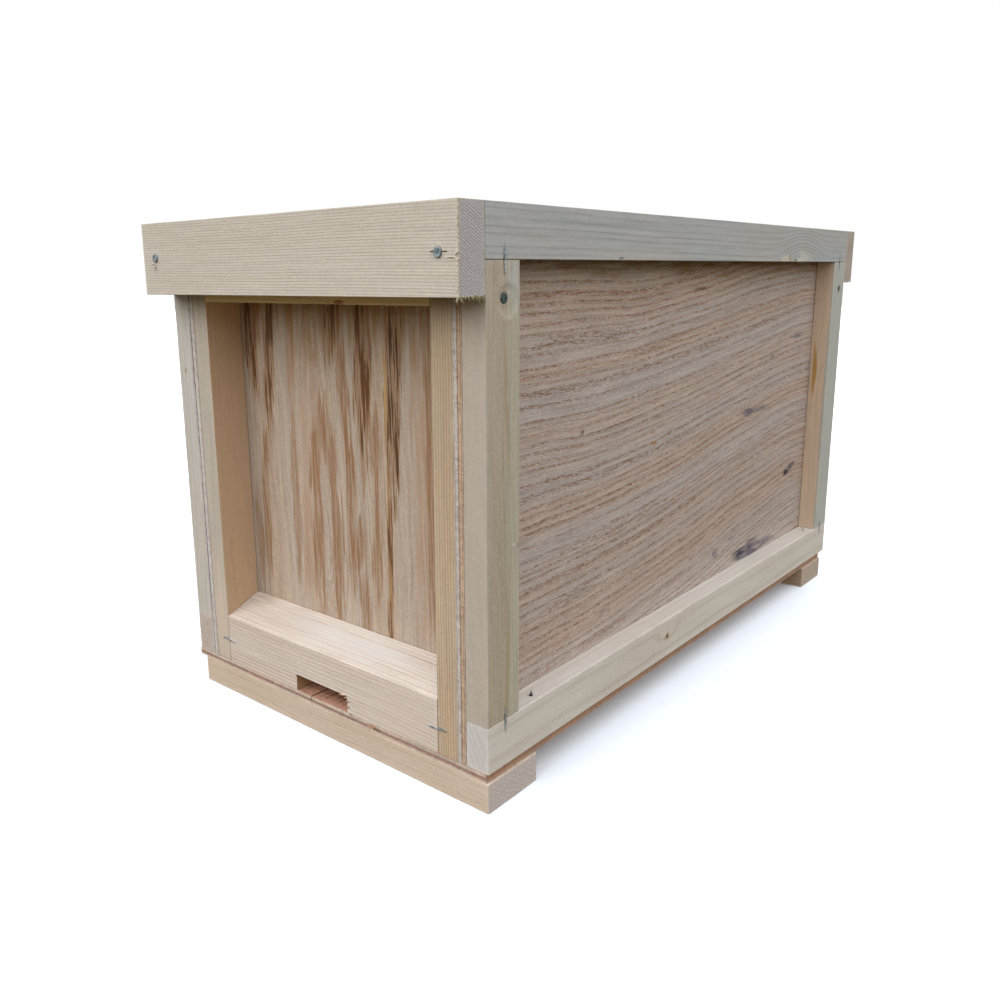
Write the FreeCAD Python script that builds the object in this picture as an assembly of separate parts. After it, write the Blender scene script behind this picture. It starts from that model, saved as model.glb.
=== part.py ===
import FreeCAD, Part
import math
import os

# Small hive box (a nucleus box) for Langstroth frames: four framed plywood walls on a plywood
# floor with two runners, open at the top. Millimetres. +X is the right-hand side, -Y the
# entrance end, +Z up. The origin is on the standing plane, under the middle of the box.

# Overall sizes
BOX_LENGTH = 527.0
BOX_WIDTH = 277.0
WALL_HEIGHT = 306.0

# Stock
WALL_PLY = 6.5
FLOOR_PLY = 5.5
SIDE_TIMBER_WIDTH = 28.0
SIDE_TIMBER_THICKNESS = 16.0
END_STILE_WIDTH = 15.0
END_TIMBER_DEPTH = 27.5
LUG_RAIL_HEIGHT = 35.0
BOTTOM_RAIL_FRONT_HEIGHT = 34.0
BOTTOM_RAIL_BACK_HEIGHT = 45.5
BATTEN_HEIGHT = 46.0
BATTEN_THICKNESS = 20.0
RUNNER_HEIGHT = 18.5
RUNNER_WIDTH = 45.5

# Fits and offsets
LUG_REST_DROP = 16.0
FLOOR_LIP_LEFT = 1.0
FLOOR_INSET_RIGHT = 1.5
FLOOR_INSET_REAR = 8.0
RUNNER_INSET_LEFT = 6.0

# Bee entrance, cut through the entrance rail and the panel behind it
ENTRANCE_WIDTH = 50.0
ENTRANCE_HEIGHT = 11.5
ENTRANCE_CENTRE_X = -1.5
ENTRANCE_CORNER_RADIUS = 1.5

# Nails and staples
NAIL_RADIUS = 1.3
NAIL_HEAD_RADIUS = 2.5
NAIL_HEAD_THICKNESS = 0.8
NAIL_HEAD_EDGE = 0.35
NAIL_TIP = 4.0
NAIL_TIP_TAPER = 0.25
STAPLE_CROWN = 12.9
STAPLE_WIRE_WIDTH = 0.95
STAPLE_WIRE_THICKNESS = 0.65
STAPLE_LEG = 14.0
STAPLE_PROUD = 0.35
BRAD_RADIUS = 0.7
BRAD_HEAD_RADIUS = 1.2
BORE_CLEARANCE = 0.05
OVERSHOOT = 1.0  # how far a cutter reaches past the face that it opens

# Levels and planes worked out from the sizes above
HALF_LENGTH = BOX_LENGTH / 2
HALF_WIDTH = BOX_WIDTH / 2
FLOOR_TOP = RUNNER_HEIGHT + FLOOR_PLY
RIM = FLOOR_TOP + WALL_HEIGHT
LUG_REST = RIM - LUG_REST_DROP
SIDE_PLY_OUTER_X = HALF_WIDTH - SIDE_TIMBER_THICKNESS
SIDE_PLY_INNER_X = SIDE_PLY_OUTER_X - WALL_PLY
END_STILE_INNER_X = SIDE_PLY_INNER_X - END_STILE_WIDTH
END_PLY_OUTER_Y = HALF_LENGTH - END_TIMBER_DEPTH
END_PLY_INNER_Y = END_PLY_OUTER_Y - WALL_PLY

SIDES = {"left": -1, "right": 1}
ENDS = {"front": -1, "rear": 1}


def vector(x, y, z):
    return FreeCAD.Vector(x, y, z)


def block(x_range, y_range, z_range):
    """A rectangular board between two limits along each axis, given in either order."""
    x_low, x_high = sorted(x_range)
    y_low, y_high = sorted(y_range)
    z_low, z_high = sorted(z_range)
    return Part.makeBox(x_high - x_low, y_high - y_low, z_high - z_low, vector(x_low, y_low, z_low))


def floor_panel():
    return block(
        (-HALF_WIDTH - FLOOR_LIP_LEFT, HALF_WIDTH - FLOOR_INSET_RIGHT),
        (-HALF_LENGTH, HALF_LENGTH - FLOOR_INSET_REAR),
        (RUNNER_HEIGHT, FLOOR_TOP),
    )


def runner(outer_y, end):
    """A runner across the width; it lies under the floor with its outer face at outer_y."""
    return block(
        (-HALF_WIDTH + RUNNER_INSET_LEFT, HALF_WIDTH),
        (outer_y, outer_y - end * RUNNER_WIDTH),
        (0, RUNNER_HEIGHT),
    )


def side_wall(side):
    """The panel, the two full-length rails and the two stiles of one long side."""
    inner = side * SIDE_PLY_INNER_X
    joint = side * SIDE_PLY_OUTER_X
    outer = side * HALF_WIDTH
    full_length = (-HALF_LENGTH, HALF_LENGTH)
    bottom_rail_top = FLOOR_TOP + SIDE_TIMBER_WIDTH
    top_rail_bottom = RIM - SIDE_TIMBER_WIDTH
    pieces = {
        "panel": block((inner, joint), full_length, (FLOOR_TOP, RIM)),
        "bottom_rail": block((joint, outer), full_length, (FLOOR_TOP, bottom_rail_top)),
        "top_rail": block((joint, outer), full_length, (top_rail_bottom, RIM)),
    }
    for end_name, end in ENDS.items():
        stile_y = (end * HALF_LENGTH, end * (HALF_LENGTH - SIDE_TIMBER_WIDTH))
        pieces[end_name + "_stile"] = block((joint, outer), stile_y, (bottom_rail_top, top_rail_bottom))
    return pieces


def end_panel(end):
    return block(
        (-SIDE_PLY_INNER_X, SIDE_PLY_INNER_X),
        (end * END_PLY_INNER_Y, end * END_PLY_OUTER_Y),
        (FLOOR_TOP, LUG_REST),
    )


def end_stile(side, end):
    return block(
        (side * END_STILE_INNER_X, side * SIDE_PLY_INNER_X),
        (end * END_PLY_OUTER_Y, end * HALF_LENGTH),
        (FLOOR_TOP, LUG_REST),
    )


def lug_rail(end):
    """The top rail of an end wall; the lugs of the frames rest on its top face."""
    return block(
        (-END_STILE_INNER_X, END_STILE_INNER_X),
        (end * END_PLY_OUTER_Y, end * HALF_LENGTH),
        (LUG_REST - LUG_RAIL_HEIGHT, LUG_REST),
    )


def end_bottom_rail(end):
    """The bottom rail of an end wall; its top slopes down towards the outside to shed water."""
    outer_y = end * HALF_LENGTH
    inner_y = end * END_PLY_OUTER_Y
    start_x = -END_STILE_INNER_X
    section = [
        vector(start_x, outer_y, FLOOR_TOP),
        vector(start_x, outer_y, FLOOR_TOP + BOTTOM_RAIL_FRONT_HEIGHT),
        vector(start_x, inner_y, FLOOR_TOP + BOTTOM_RAIL_BACK_HEIGHT),
        vector(start_x, inner_y, FLOOR_TOP),
    ]
    face = Part.Face(Part.makePolygon(section + [section[0]]))
    return face.extrude(vector(2 * END_STILE_INNER_X, 0, 0))


def entrance_cutter():
    """The space of the bee entrance, with rounded top corners, through rail and panel."""
    past = 5.0
    cutter = block(
        (ENTRANCE_CENTRE_X - ENTRANCE_WIDTH / 2, ENTRANCE_CENTRE_X + ENTRANCE_WIDTH / 2),
        (-HALF_LENGTH - past, -END_PLY_INNER_Y + past),
        (FLOOR_TOP - past, FLOOR_TOP + ENTRANCE_HEIGHT),
    )
    top_edges = []
    for edge in cutter.Edges:
        ends = [vertex.Point for vertex in edge.Vertexes]
        along_y = abs(ends[0].y - ends[1].y) > past
        at_top = abs(edge.CenterOfMass.z - FLOOR_TOP - ENTRANCE_HEIGHT) < 0.01
        if along_y and at_top:
            top_edges.append(edge)
    return cutter.makeFillet(ENTRANCE_CORNER_RADIUS, top_edges)


def batten(end):
    """The board across an end, level with the rim; it closes the lug space and is the hand hold."""
    return block(
        (-HALF_WIDTH, HALF_WIDTH),
        (end * HALF_LENGTH, end * (HALF_LENGTH + BATTEN_THICKNESS)),
        (RIM - BATTEN_HEIGHT, RIM),
    )


def place(shape, point, direction):
    """Move a shape made at the origin, driven along -Z, to a point, driven along a direction."""
    rotation = FreeCAD.Rotation(vector(0, 0, -1), direction)
    moved = shape.copy()
    moved.Placement = FreeCAD.Placement(point, rotation)
    return moved


def round_nail(point, direction, length, radius=NAIL_RADIUS, head_radius=NAIL_HEAD_RADIUS, sunk=0.0):
    """A nail with a round-edged head and a tapered tip, and the bore that it fills.

    The head's seat is at the point when sunk is 0, so that the head stands proud.
    """
    down = vector(0, 0, -1)
    head = Part.makeCylinder(head_radius, NAIL_HEAD_THICKNESS, vector(0, 0, -sunk))
    top_edge = max(head.Edges, key=lambda edge: edge.CenterOfMass.z)
    head = head.makeFillet(NAIL_HEAD_EDGE, [top_edge])
    shank = Part.makeCylinder(radius, length - NAIL_TIP, vector(0, 0, -sunk), down)
    tip_start = vector(0, 0, -sunk - length + NAIL_TIP)
    tip = Part.makeCone(radius, radius * NAIL_TIP_TAPER, NAIL_TIP, tip_start, down)
    nail = shank.fuse([head, tip]).removeSplitter()
    bore = Part.makeCylinder(radius + BORE_CLEARANCE, length + BORE_CLEARANCE, vector(0, 0, -sunk), down)
    if sunk > 0:
        counterbore = Part.makeCylinder(
            head_radius + BORE_CLEARANCE, sunk + BORE_CLEARANCE + OVERSHOOT, vector(0, 0, OVERSHOOT), down
        )
        bore = bore.fuse(counterbore).removeSplitter()
    return place(nail, point, direction), place(bore, point, direction)


def staple(point, direction, along, proud=STAPLE_PROUD):
    """A staple with its crown centred at a point and running along a unit vector, and its bore."""

    def wire(grow, height):
        """The staple's wire, thicker all round by grow, up to a height above the surface."""
        half_wire = STAPLE_WIRE_WIDTH / 2 + grow
        half_crown = STAPLE_CROWN / 2 + grow
        foot = proud - STAPLE_LEG - grow
        crown_foot = proud - STAPLE_WIRE_THICKNESS - grow
        leg_inner = STAPLE_CROWN / 2 - STAPLE_WIRE_WIDTH - grow
        crown = block((-half_crown, half_crown), (-half_wire, half_wire), (crown_foot, height))
        legs = []
        for hand in (-1, 1):
            leg_x = (hand * leg_inner, hand * half_crown)
            legs.append(block(leg_x, (-half_wire, half_wire), (foot, height)))
        return crown.fuse(legs).removeSplitter()

    up = vector(-direction.x, -direction.y, -direction.z)
    across = up.cross(along)
    frame = FreeCAD.Matrix(
        along.x, across.x, up.x, point.x,
        along.y, across.y, up.y, point.y,
        along.z, across.z, up.z, point.z,
        0, 0, 0, 1,
    )
    metal = wire(0, proud)
    bore = wire(BORE_CLEARANCE, proud + OVERSHOOT)
    return metal.transformGeometry(frame), bore.transformGeometry(frame)


def batten_nails():
    """Nails through the ends of the battens into the end grain of the side top rails."""
    length = 45.0
    from_middle = {"left": 124.0, "right": 125.5}
    below_rim = {"left": 22.5, "right": 24.5}
    nails = []
    for end in ENDS.values():
        for side_name, side in SIDES.items():
            x = side * from_middle[side_name]
            point = vector(x, end * (HALF_LENGTH + BATTEN_THICKNESS), RIM - below_rim[side_name])
            nails.append(round_nail(point, vector(0, -end, 0), length))
    return nails


def corner_nails():
    """Nails through the side stiles and panels into the end stiles, near the top of each corner."""
    length = 33.0
    sunk = 1.1
    from_end = {"front": 15.5, "rear": 12.0}
    below_rim = {"front": 47.0, "rear": 52.0}
    nails = []
    for side in SIDES.values():
        for end_name, end in ENDS.items():
            point = vector(
                side * HALF_WIDTH, end * (HALF_LENGTH - from_end[end_name]), RIM - below_rim[end_name]
            )
            nails.append(round_nail(point, vector(-side, 0, 0), length, sunk=sunk))
    return nails


def runner_nails():
    """Nails up through the runners and the floor into the bottom rails of the four walls."""
    length = 43.0
    sunk = 1.2
    from_side_face = 11.5
    side_x = HALF_WIDTH - from_side_face
    end_x = 60.0
    from_end = {side_x: 36.0, end_x: 15.0}
    nails = []
    for end in ENDS.values():
        for x in (-side_x, -end_x, end_x, side_x):
            point = vector(x, end * (HALF_LENGTH - from_end[abs(x)]), 0)
            nails.append(round_nail(point, vector(0, 0, 1), length, sunk=sunk))
    return nails


def floor_nails():
    """Nails up through the floor into the side bottom rails, between the runners."""
    length = 25.0
    side_x = HALF_WIDTH - SIDE_TIMBER_THICKNESS / 2
    pitch = 105.0
    nails = []
    for side in SIDES.values():
        for step in (-1.5, -0.5, 0.5, 1.5):
            point = vector(side * side_x, step * pitch, RUNNER_HEIGHT)
            nails.append(round_nail(point, vector(0, 0, 1), length))
    return nails


def side_seam_staples():
    """Staples across the joints between the stiles and the rails of the side walls."""
    from_end = 15.5
    staples = []
    for side in SIDES.values():
        for end in ENDS.values():
            for seam in (FLOOR_TOP + SIDE_TIMBER_WIDTH, RIM - SIDE_TIMBER_WIDTH):
                point = vector(side * HALF_WIDTH, end * (HALF_LENGTH - from_end), seam)
                staples.append(staple(point, vector(-side, 0, 0), vector(0, 0, 1)))
    return staples


def end_seam_staples():
    """Staples across the joints of the end frames; the upper ones lie flush under the battens."""
    above_floor = 16.0
    below_rest = 17.0
    tilt = 0.07
    staples = []
    for end in ENDS.values():
        for side in SIDES.values():
            seam_x = side * END_STILE_INNER_X
            low = vector(seam_x, end * HALF_LENGTH, FLOOR_TOP + above_floor)
            high = vector(seam_x, end * HALF_LENGTH, LUG_REST - below_rest)
            tilted = vector(math.cos(tilt), 0, side * math.sin(tilt))
            staples.append(staple(low, vector(0, -end, 0), tilted))
            staples.append(staple(high, vector(0, -end, 0), vector(1, 0, 0), proud=0.0))
    return staples


def panel_staples():
    """Staples from inside that hold the four panels to their frames."""
    proud = 0.1
    rail_pitch = 100.0
    side_heights = (FLOOR_TOP + SIDE_TIMBER_WIDTH / 2, RIM - SIDE_TIMBER_WIDTH / 2)
    end_stile_x = (END_STILE_INNER_X + SIDE_PLY_INNER_X) / 2
    low_on_stile, high_on_stile = 90.0, 200.0
    end_stile_heights = (FLOOR_TOP + low_on_stile, FLOOR_TOP + high_on_stile)
    rail_x = 55.0
    rail_heights = (FLOOR_TOP + BOTTOM_RAIL_BACK_HEIGHT / 2, LUG_REST - LUG_RAIL_HEIGHT / 2)
    staples = []
    for side in SIDES.values():
        face_x = side * SIDE_PLY_INNER_X
        outward = vector(side, 0, 0)
        for height in side_heights:
            for step in (-2, -1, 0, 1, 2):
                point = vector(face_x, step * rail_pitch, height)
                staples.append(staple(point, outward, vector(0, 1, 0), proud))
        for end in ENDS.values():
            outward_end = vector(0, end, 0)
            for height in end_stile_heights:
                point = vector(side * end_stile_x, end * END_PLY_INNER_Y, height)
                staples.append(staple(point, outward_end, vector(0, 0, 1), proud))
            for height in rail_heights:
                point = vector(side * rail_x, end * END_PLY_INNER_Y, height)
                staples.append(staple(point, outward_end, vector(1, 0, 0), proud))
    return staples


def ledge_brads():
    """Small brads driven down through the ledges of the side bottom rails, near their ends."""
    length = 20.0
    from_panel = {"front": 9.5, "rear": 3.0}
    from_end = {"front": 48.0, "rear": 32.0}
    sunk = {"front": 0.9, "rear": 0.2}
    ledge_z = FLOOR_TOP + SIDE_TIMBER_WIDTH
    down = vector(0, 0, -1)
    brads = []
    for side in SIDES.values():
        for end_name, end in ENDS.items():
            x = SIDE_PLY_OUTER_X + from_panel[end_name]
            point = vector(side * x, end * (HALF_LENGTH - from_end[end_name]), ledge_z)
            brads.append(round_nail(point, down, length, BRAD_RADIUS, BRAD_HEAD_RADIUS, sunk[end_name]))
    return brads


def boards():
    """Every board of the box by name, before its nail and staple holes are made."""
    nodes = {"floor_panel": floor_panel()}
    nodes["front_runner"] = runner(-HALF_LENGTH, -1)
    nodes["rear_runner"] = runner(HALF_LENGTH - FLOOR_INSET_REAR, 1)
    for side_name, side in SIDES.items():
        for piece_name, piece in side_wall(side).items():
            nodes[f"{side_name}_side_{piece_name}"] = piece
    for end_name, end in ENDS.items():
        nodes[f"{end_name}_end_panel"] = end_panel(end)
        nodes[f"{end_name}_lug_rail"] = lug_rail(end)
        nodes[f"{end_name}_batten"] = batten(end)
        for side_name, side in SIDES.items():
            nodes[f"{end_name}_end_{side_name}_stile"] = end_stile(side, end)
    entrance = entrance_cutter()
    nodes["entrance_rail"] = end_bottom_rail(-1).cut(entrance)
    nodes["rear_end_bottom_rail"] = end_bottom_rail(1)
    nodes["front_end_panel"] = nodes["front_end_panel"].cut(entrance)
    return nodes


def fasteners():
    """Every group of fasteners by name, each a list of pairs: the fastener and its bore."""
    return {
        "batten_nails": batten_nails(),
        "corner_nails": corner_nails(),
        "runner_nails": runner_nails(),
        "floor_nails": floor_nails(),
        "side_seam_staples": side_seam_staples(),
        "end_seam_staples": end_seam_staples(),
        "panel_staples": panel_staples(),
        "ledge_brads": ledge_brads(),
    }


def bore_boards(nodes, groups):
    """Cut from each board the bores of the fasteners that pass through it."""
    for name, board in nodes.items():
        bores = []
        for pairs in groups.values():
            for _, bore in pairs:
                if board.BoundBox.intersect(bore.BoundBox):
                    bores.append(bore)
        if bores:
            nodes[name] = board.cut(bores)


def main():
    os.makedirs("parts", exist_ok=True)
    nodes = boards()
    groups = fasteners()
    bore_boards(nodes, groups)
    for name, pairs in groups.items():
        nodes[name] = Part.makeCompound([fastener for fastener, _ in pairs])
    for name, shape in nodes.items():
        shape.exportStep(f"parts/{name}.step")
        print(name, len(shape.Solids), shape.isValid(), round(shape.Volume))


main()
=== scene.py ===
import math

import bpy
import numpy as np
from mathutils import Matrix, Vector


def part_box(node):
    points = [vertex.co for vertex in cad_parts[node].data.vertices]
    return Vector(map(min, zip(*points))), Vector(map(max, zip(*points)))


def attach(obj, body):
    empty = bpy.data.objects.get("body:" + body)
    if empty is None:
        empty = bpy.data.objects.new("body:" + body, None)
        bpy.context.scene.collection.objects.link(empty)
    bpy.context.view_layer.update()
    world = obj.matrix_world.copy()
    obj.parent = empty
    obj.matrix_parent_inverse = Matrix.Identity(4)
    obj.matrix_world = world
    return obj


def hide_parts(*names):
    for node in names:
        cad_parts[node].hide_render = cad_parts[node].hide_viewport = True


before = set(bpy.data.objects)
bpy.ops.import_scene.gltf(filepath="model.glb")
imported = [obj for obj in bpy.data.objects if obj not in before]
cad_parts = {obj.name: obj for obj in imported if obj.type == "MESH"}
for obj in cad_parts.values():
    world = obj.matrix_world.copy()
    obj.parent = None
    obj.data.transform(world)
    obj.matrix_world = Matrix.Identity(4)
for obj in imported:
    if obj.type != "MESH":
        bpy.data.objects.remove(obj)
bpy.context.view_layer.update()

MM = 0.001

# ---------------------------------------------------------------- camera and studio

CAMERA_PLACE = (0.4183, -0.6071, 0.2950)
CAMERA_ANGLES = (40.695, -12.369, -0.664)  # yaw, pitch and roll in degrees
SENSOR_WIDTH = 36.0
FOCAL_LENGTH = 31.98
LENS_SHIFT = (0.0367, -0.0308)

# the studio light from each height: warm and weak from low down, stronger and cooler from above
SKY_BELOW = (0.17, 0.14, 0.09, 1.0)
SKY_HORIZON = (0.48, 0.44, 0.36, 1.0)
SKY_ZENITH = (1.32, 1.54, 1.84, 1.0)
SUNS = (  # name, direction towards the light, strength, and the angle in degrees that softens it
    ("light_front", (-0.40, -1.0, 0.85), 2.10, 60.0),
    ("light_right", (1.0, -0.15, 0.95), 1.20, 70.0),
    ("light_rear", (-0.75, 1.0, 0.9), 0.9, 70.0),
)
WHITE = (1.0, 1.0, 1.0, 1.0)
PAPER = (0.90, 0.90, 0.90, 1.0)
FLOOR_SIZE = 14.0


def set_camera():
    """The photograph's viewpoint, fitted to the box's corners."""
    yaw, pitch, roll = (math.radians(angle) for angle in CAMERA_ANGLES)
    look = Vector((-math.sin(yaw) * math.cos(pitch), math.cos(yaw) * math.cos(pitch), math.sin(pitch)))
    level = Vector((math.cos(yaw), math.sin(yaw), 0.0))
    above = level.cross(look)
    right = math.cos(roll) * level + math.sin(roll) * above
    top = -math.sin(roll) * level + math.cos(roll) * above
    data = bpy.data.cameras.new("camera")
    data.sensor_width = SENSOR_WIDTH
    data.lens = FOCAL_LENGTH
    data.shift_x, data.shift_y = LENS_SHIFT
    data.clip_start = 0.01
    data.dof.use_dof = False
    camera = bpy.data.objects.new("camera", data)
    bpy.context.scene.collection.objects.link(camera)
    turn = Matrix((right, top, -look)).transposed().to_4x4()
    camera.matrix_world = Matrix.Translation(CAMERA_PLACE) @ turn
    bpy.context.scene.camera = camera


def add_sun(name, towards_light, strength, softness):
    """A sun so wide that its shadows are soft."""
    data = bpy.data.lights.new(name, "SUN")
    data.energy = strength
    data.angle = math.radians(softness)
    light = bpy.data.objects.new(name, data)
    light.rotation_euler = Vector(towards_light).to_track_quat("Z", "Y").to_euler()
    bpy.context.scene.collection.objects.link(light)


def set_studio():
    """An even overcast sky over a plain white floor. The floor is seen and takes shadows, but throws
    no light back up, because the photograph's shaded edges are dark."""
    scene = bpy.context.scene
    scene.view_settings.view_transform = "Standard"
    world = bpy.data.worlds.new("studio")
    world.use_nodes = True
    scene.world = world
    links = world.node_tree.links
    nodes = world.node_tree.nodes
    direction = nodes.new("ShaderNodeTexCoord")
    height = nodes.new("ShaderNodeSeparateXYZ")
    links.new(direction.outputs["Generated"], height.inputs[0])
    sky = nodes.new("ShaderNodeValToRGB")
    elements = sky.color_ramp.elements
    elements.new(0.5)
    elements.new(0.52)
    heights = ((0.0, SKY_BELOW), (0.49, SKY_BELOW), (0.52, SKY_HORIZON), (1.0, SKY_ZENITH))
    for element, (position, colour) in zip(elements, heights):
        element.position = position
        element.color = colour
    half = nodes.new("ShaderNodeMapRange")
    half.inputs["From Min"].default_value = -1.0
    links.new(height.outputs["Z"], half.inputs["Value"])
    links.new(half.outputs[0], sky.inputs[0])
    lighting = nodes["Background"]
    links.new(sky.outputs["Color"], lighting.inputs["Color"])
    backdrop = nodes.new("ShaderNodeBackground")
    backdrop.inputs["Color"].default_value = WHITE
    backdrop.inputs["Strength"].default_value = 1.0
    light_path = nodes.new("ShaderNodeLightPath")
    choice = nodes.new("ShaderNodeMixShader")
    links.new(light_path.outputs["Is Camera Ray"], choice.inputs["Fac"])
    links.new(lighting.outputs[0], choice.inputs[1])
    links.new(backdrop.outputs[0], choice.inputs[2])
    links.new(choice.outputs[0], nodes["World Output"].inputs["Surface"])
    for sun in SUNS:
        add_sun(*sun)
    bpy.ops.mesh.primitive_plane_add(size=FLOOR_SIZE, location=(0.0, 0.0, 0.0))
    floor = bpy.context.object
    floor.name = "studio_floor"
    floor.visible_diffuse = False
    floor.visible_glossy = False
    paper = bpy.data.materials.new("studio_paper")
    paper.use_nodes = True
    shader = paper.node_tree.nodes["Principled BSDF"]
    shader.inputs["Base Color"].default_value = PAPER
    shader.inputs["Roughness"].default_value = 0.95
    floor.data.materials.append(paper)


# ---------------------------------------------------------------- materials


def base(red, green, blue, light=1.0):
    """The base colour that looks like this sRGB colour under that much light."""
    linear = []
    for value in (red, green, blue):
        v = value / 255.0
        v = v / 12.92 if v <= 0.04045 else ((v + 0.055) / 1.055) ** 2.4
        linear.append(min(0.95, v / light))
    return (*linear, 1.0)


class Graph:
    """A material's node tree, with short calls that add nodes to it. Places and sizes are in mm."""

    def __init__(self, name):
        self.material = bpy.data.materials.new(name)
        self.material.use_nodes = True
        self.tree = self.material.node_tree
        self.shader = self.tree.nodes["Principled BSDF"]
        coordinates = self.tree.nodes.new("ShaderNodeTexCoord")
        self.place = coordinates.outputs["Object"]
        self.normal = coordinates.outputs["Normal"]

    def feed(self, socket, value):
        if isinstance(value, bpy.types.NodeSocket):
            self.tree.links.new(value, socket)
        elif value is not None:
            socket.default_value = value

    def node(self, kind, inputs=None, **settings):
        """A new node with these settings, its inputs fed by number or by name."""
        node = self.tree.nodes.new("ShaderNode" + kind)
        for key, value in settings.items():
            setattr(node, key, value)
        for key, value in (inputs or {}).items():
            self.feed(node.inputs[key], value)
        return node

    def math(self, operation, a, b=None, clamp=False):
        return self.node("Math", {0: a, 1: b}, operation=operation, use_clamp=clamp).outputs[0]

    def plus(self, a, b):
        return self.math("ADD", a, b)

    def minus(self, a, b):
        return self.math("SUBTRACT", a, b)

    def times(self, a, b, clamp=False):
        return self.math("MULTIPLY", a, b, clamp)

    def split(self, vector):
        return list(self.node("SeparateXYZ", {0: vector}).outputs)

    def join(self, *parts):
        return self.node("CombineXYZ", dict(enumerate(parts))).outputs[0]

    def scaled(self, vector, factors):
        return self.node("VectorMath", {0: vector, 1: factors}, operation="MULTIPLY").outputs[0]

    def shifted(self, vector, offset):
        return self.node("VectorMath", {0: vector, 1: offset}, operation="ADD").outputs[0]

    def noise(self, vector, scale=1.0, detail=2.0, roughness=0.5):
        inputs = {"Vector": vector, "Scale": scale, "Detail": detail, "Roughness": roughness}
        return self.node("TexNoise", inputs).outputs["Fac"]

    def random(self, value):
        return self.node("TexWhiteNoise", {"W": value}, noise_dimensions="1D").outputs["Value"]

    def spread(self, value, low, high, to_low=0.0, to_high=1.0, smooth=False):
        """The value moved from one range to another, and held at the ends."""
        inputs = {"Value": value, "From Min": low, "From Max": high, "To Min": to_low, "To Max": to_high}
        easing = "SMOOTHSTEP" if smooth else "LINEAR"
        return self.node("MapRange", inputs, interpolation_type=easing).outputs[0]

    def sway(self, value, reach, low=0.3, high=0.7):
        """A noise value turned into a shift either way."""
        return self.spread(value, low, high, -reach, reach)

    def ramp(self, value, *stops, sharp=False):
        node = self.node("ValToRGB", {0: value})
        node.color_ramp.interpolation = "CONSTANT" if sharp else "LINEAR"
        elements = node.color_ramp.elements
        while len(elements) < len(stops):
            elements.new(0.5)
        for element, (position, colour) in zip(elements, stops):
            element.position = position
            element.color = colour if hasattr(colour, "__len__") else (colour, colour, colour, 1.0)
        return node.outputs["Color"]

    def mix(self, factor, a, b, blend="MIX"):
        return self.node("Mix", {0: factor, 6: a, 7: b}, data_type="RGBA", blend_type=blend).outputs[2]

    def attribute(self, name):
        return self.node("Attribute", attribute_name=name).outputs["Fac"]

    def near(self, centre, size, turn=(0.0, 0.0, 0.0), ragged=0.35, grain=None, soft=0.5):
        """1 inside an oval round centre with those half sizes, and 0 outside, with a ragged rim."""
        centre, size = ([value * MM for value in values] for values in (centre, size))
        inputs = {"Vector": self.place, "Location": centre, "Rotation": turn, "Scale": size}
        local = self.node("Mapping", inputs, vector_type="TEXTURE").outputs[0]
        distance = self.node("VectorMath", {0: local}, operation="LENGTH").outputs["Value"]
        if ragged:
            rim = self.noise(grain) if grain else self.noise(self.place, RIM_DETAIL)
            distance = self.plus(distance, self.sway(rim, ragged, 0.25, 0.75))
        return self.spread(distance, 1.0, 1.0 - soft, 0.0, 1.0, smooth=True)

    def finish(self, colour, roughness, height=None, relief=0.0002, strength=0.6, shine=0.25):
        self.feed(self.shader.inputs["Base Color"], colour)
        self.feed(self.shader.inputs["Roughness"], roughness)
        self.shader.inputs["Specular IOR Level"].default_value = shine
        if height is not None:
            bump = self.node("Bump", {"Strength": strength, "Distance": relief, "Height": height})
            self.feed(self.shader.inputs["Normal"], bump.outputs[0])
        return self.material


STRAND_WASH = base(146, 108, 74)  # the mid brown between the dark threads of a streak
SCRATCHES = (900.0, 900.0, 5200.0)  # the scratches in steel, per metre along X, Y and Z

# noise scales shared by every wood: features per metre, or along and across the grain
RIM_DETAIL = 260.0
SAWDUST = 620.0
LAYER_DETAIL = 420.0
TORN_DETAIL = 340.0
END_SPECK_DETAIL = 1300.0
WEAR_DETAIL = 55.0
SLOW_WAVES = ((5.5, 7.0), (4.5, 9.0))
FINE_WAVES = (26.0, 60.0)
PATCHY = (9.0, 60.0)
CLOUD = (5.0, 22.0)
MATT = (14.0, 90.0)
FIBRES = (22.0, 620.0)
LONG_DASHES = (85.0, 950.0)
SHORT_DASHES = (260.0, 1500.0)
FLECKS = (300.0, 1400.0)
MARK_GRAIN = (30.0, 300.0)
MARK_GAP_SCALES = (80.0, 1000.0)
STRAND_RIM = (22.0, 330.0)
THREADS = (24.0, 540.0)

ROUGHNESS = 0.66
END_TINT = 0.82  # sawn end grain is this much darker than the face
END_DARK = 0.62
DENT_DARK = 0.30  # the share of the dark tone's brightness that is left in a darkened dent: rust and dirt in most, painted shadow round the staples


def lit(colour, factor):
    """A colour made darker or brighter."""
    return [min(0.9, value * factor) for value in colour[:3]] + [1.0]


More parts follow.
